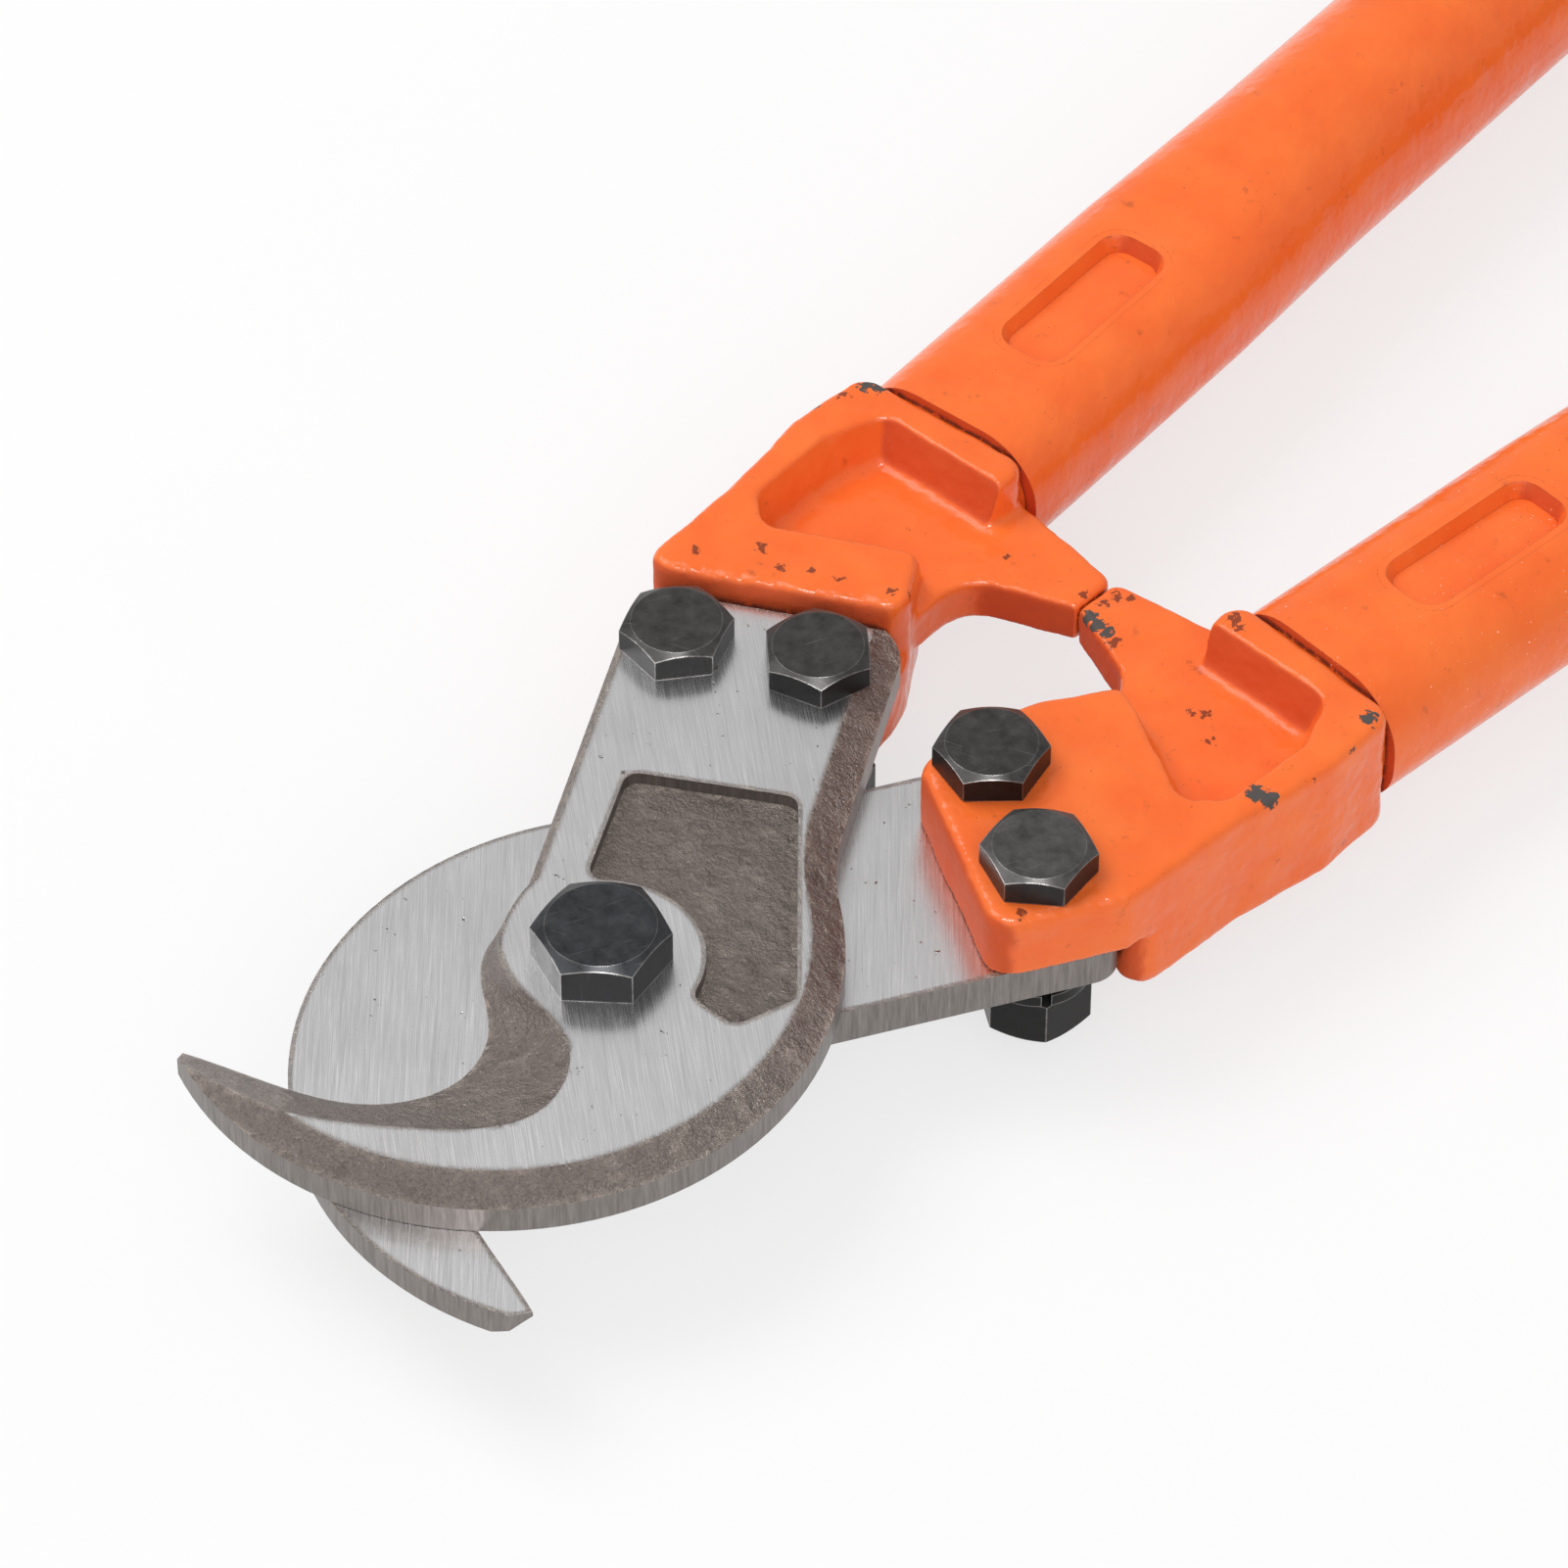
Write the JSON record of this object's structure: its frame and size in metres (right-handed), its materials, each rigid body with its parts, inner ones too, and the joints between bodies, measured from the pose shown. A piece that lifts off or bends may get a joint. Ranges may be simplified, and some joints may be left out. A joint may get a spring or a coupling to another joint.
{
  "type": "two-handed cable cutter",
  "caption": "Two-handed cable cutter with hooked bypass shear blades on a pivot bolt, cast sockets bolted to the blades and long tube handles with rubber grips.",
  "frame": {"origin": "on the pivot axis, at the end of the pivot bolt, on which the tool lies", "axes": "+Z along the pivot axis towards the bolt's head; +Y from the jaws towards the handles, midway between them; +X to the handle that is bolted to the lower blade"},
  "size_m": [0.182, 0.5992, 0.046],
  "materials": {
    "blade_steel": "ground",
    "orange_casting": "gloss",
    "orange_tube": "gloss",
    "black_oxide": "black oxide",
    "washer_steel": "zinc plated",
    "nylon": "matte",
    "grip_rubber": "matte"
  },
  "bodies": {
    "upper_blade_half": {"upper_blade": "blade_steel", "left_casting": "orange_casting", "left_tube": "orange_tube", "left_grip": "grip_rubber", "pivot_bolt": "black_oxide", "pivot_washer": "washer_steel", "pivot_nut": "black_oxide", "pivot_nut_insert": "nylon", "left_inner_bolt": "black_oxide", "left_inner_nut": "black_oxide", "left_inner_washer": "black_oxide", "left_outer_bolt": "black_oxide", "left_outer_nut": "black_oxide", "left_outer_washer": "black_oxide"},
    "lower_blade_half": {"lower_blade": "blade_steel", "right_casting": "orange_casting", "right_tube": "orange_tube", "right_grip": "grip_rubber", "right_inner_bolt": "black_oxide", "right_inner_nut": "black_oxide", "right_inner_washer": "black_oxide", "right_outer_bolt": "black_oxide", "right_outer_nut": "black_oxide", "right_outer_washer": "black_oxide"}
  },
  "joints": [
    {"name": "pivot", "type": "hinge", "parent": "upper_blade_half", "child": "lower_blade_half", "pos_m": [0, 0, 0.02465], "axis": [0, 0, -1], "range_deg": [0, 60]}
  ]
}
